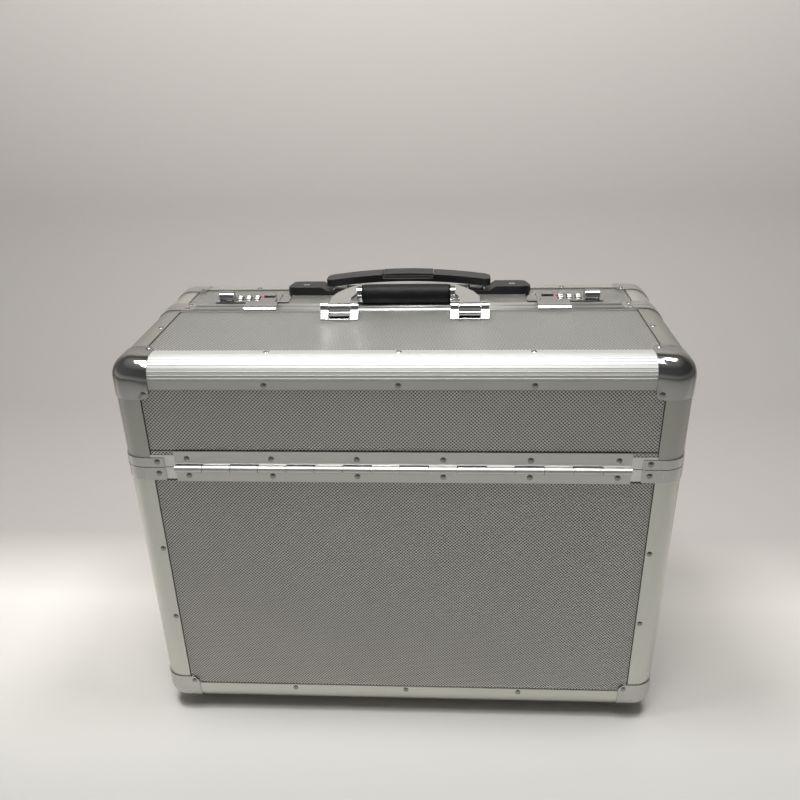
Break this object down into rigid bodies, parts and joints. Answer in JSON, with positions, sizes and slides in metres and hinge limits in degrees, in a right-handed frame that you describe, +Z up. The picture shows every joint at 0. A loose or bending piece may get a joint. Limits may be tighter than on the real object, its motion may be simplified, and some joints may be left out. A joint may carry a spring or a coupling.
{
  "type": "wheeled aluminium pilot case",
  "caption": "Upright aluminium-framed pilot case with a front-hinged lid, combination locks, folding carry handle, telescopic pull handle and rear wheels.",
  "frame": {"origin": "on the floor under the centre of the case", "axes": "+X to the right along the width, +Y from the hinged front to the wheels at the back, +Z up"},
  "size_m": [0.474, 0.2384, 0.3902],
  "materials": {
    "embossed_panel": "satin, embossed with a fine diamond grid",
    "satin_trim": "satin anodised",
    "bright_trim": "bright anodised with fine ribs",
    "corner_steel": "zinc plated",
    "polished_chrome": "polished",
    "rivet_steel": "nickel plated",
    "hinge_steel": "bright plated",
    "liner_cloth": "short pile",
    "foot_rubber": "matte",
    "black_plastic": "fine texture",
    "grip_plastic": "semi-gloss",
    "grip_leather": "fine grain",
    "wheel_plastic": "smooth",
    "tube_aluminium": "satin anodised",
    "dial_plastic": "metallised",
    "red_mark": "glossy"
  },
  "bodies": {
    "case": {"body_front_board": "embossed_panel", "body_back_board": "embossed_panel", "body_side_boards": "embossed_panel", "body_bottom_board": "embossed_panel", "body_top_board": "embossed_panel", "body_upright_trims": "satin_trim", "body_bottom_trims": "satin_trim", "body_top_trims": "satin_trim", "body_rim": "bright_trim", "bottom_corners": "corner_steel", "top_rear_corners": "corner_steel", "body_split_brackets": "corner_steel", "body_rivets": "rivet_steel", "body_liner": "liner_cloth", "rubber_feet": "foot_rubber", "wheel_housings": "black_plastic", "wheel_axles": "rivet_steel", "lower_hinge_leaf": "hinge_steel", "hinge_pin": "rivet_steel", "trolley_outer_tubes": "tube_aluminium", "trolley_base_blocks": "black_plastic", "trolley_bezel": "black_plastic", "bezel_screws": "rivet_steel", "lock_cases": "black_plastic", "lock_plates": "polished_chrome", "dial_shafts": "rivet_steel", "lock_indicators": "red_mark"},
    "lid": {"lid_top_board": "embossed_panel", "lid_front_board": "embossed_panel", "lid_side_boards": "embossed_panel", "lid_front_trim": "bright_trim", "lid_side_trims": "satin_trim", "lid_rim": "bright_trim", "lid_ball_corners": "polished_chrome", "lid_split_brackets": "corner_steel", "lid_rivets": "rivet_steel", "lid_liner": "liner_cloth", "upper_hinge_leaf": "hinge_steel", "lock_hasps": "polished_chrome", "handle_brackets": "polished_chrome", "handle_pins": "rivet_steel"},
    "carry_handle": {"carry_bow": "polished_chrome", "carry_grip": "grip_leather"},
    "trolley_middle": {"trolley_middle_tubes": "tube_aluminium"},
    "trolley_upper": {"trolley_upper_tubes": "tube_aluminium", "pull_grip": "grip_plastic"},
    "release": {"release_button": "black_plastic", "release_rods": "rivet_steel"},
    "left_wheel": {"left_wheel_hub": "wheel_plastic", "left_wheel_tyre": "foot_rubber"},
    "right_wheel": {"right_wheel_hub": "wheel_plastic", "right_wheel_tyre": "foot_rubber"},
    "left_slide": {"left_lock_slide": "polished_chrome"},
    "right_slide": {"right_lock_slide": "polished_chrome"},
    "left_dial_inner": {"left_dial_inner": "dial_plastic"},
    "left_dial_middle": {"left_dial_middle": "dial_plastic"},
    "left_dial_outer": {"left_dial_outer": "dial_plastic"},
    "right_dial_inner": {"right_dial_inner": "dial_plastic"},
    "right_dial_middle": {"right_dial_middle": "dial_plastic"},
    "right_dial_outer": {"right_dial_outer": "dial_plastic"}
  },
  "joints": [
    {"name": "lid_hinge", "type": "hinge", "parent": "case", "child": "lid", "pos_m": [0, -0.116, 0.275], "axis": [1, 0, 0], "range_deg": [0, 175]},
    {"name": "carry_handle_pivot", "type": "hinge", "parent": "lid", "child": "carry_handle", "pos_m": [0, 0.003, 0.3768], "axis": [1, 0, 0], "range_deg": [0, 100]},
    {"name": "trolley_middle_slide", "type": "slide", "parent": "case", "child": "trolley_middle", "axis": [0, 0, 1], "range_m": [0, 0.26]},
    {"name": "trolley_upper_slide", "type": "slide", "parent": "trolley_middle", "child": "trolley_upper", "axis": [0, 0, 1], "range_m": [0, 0.26]},
    {"name": "release_press", "type": "slide", "parent": "trolley_upper", "child": "release", "axis": [0, 0, -1], "range_m": [0, 0.0025], "stiffness_N_per_m": 2000, "springref_m": -0.0005},
    {"name": "left_wheel_spin", "type": "hinge", "parent": "case", "child": "left_wheel", "pos_m": [-0.175, 0.0972, 0.022], "axis": [1, 0, 0], "continuous": true},
    {"name": "right_wheel_spin", "type": "hinge", "parent": "case", "child": "right_wheel", "pos_m": [0.175, 0.0972, 0.022], "axis": [1, 0, 0], "continuous": true},
    {"name": "left_slide_press", "type": "slide", "parent": "case", "child": "left_slide", "axis": [-1, 0, 0], "range_m": [0, 0.003], "stiffness_N_per_m": 600},
    {"name": "right_slide_press", "type": "slide", "parent": "case", "child": "right_slide", "axis": [1, 0, 0], "range_m": [0, 0.003], "stiffness_N_per_m": 600},
    {"name": "left_dial_inner_turn", "type": "hinge", "parent": "case", "child": "left_dial_inner", "pos_m": [-0.1485, 0.0545, 0.367], "axis": [1, 0, 0], "continuous": true},
    {"name": "left_dial_middle_turn", "type": "hinge", "parent": "case", "child": "left_dial_middle", "pos_m": [-0.1485, 0.0545, 0.367], "axis": [1, 0, 0], "continuous": true},
    {"name": "left_dial_outer_turn", "type": "hinge", "parent": "case", "child": "left_dial_outer", "pos_m": [-0.1485, 0.0545, 0.367], "axis": [1, 0, 0], "continuous": true},
    {"name": "right_dial_inner_turn", "type": "hinge", "parent": "case", "child": "right_dial_inner", "pos_m": [0.1485, 0.0545, 0.367], "axis": [1, 0, 0], "continuous": true},
    {"name": "right_dial_middle_turn", "type": "hinge", "parent": "case", "child": "right_dial_middle", "pos_m": [0.1485, 0.0545, 0.367], "axis": [1, 0, 0], "continuous": true},
    {"name": "right_dial_outer_turn", "type": "hinge", "parent": "case", "child": "right_dial_outer", "pos_m": [0.1485, 0.0545, 0.367], "axis": [1, 0, 0], "continuous": true}
  ]
}
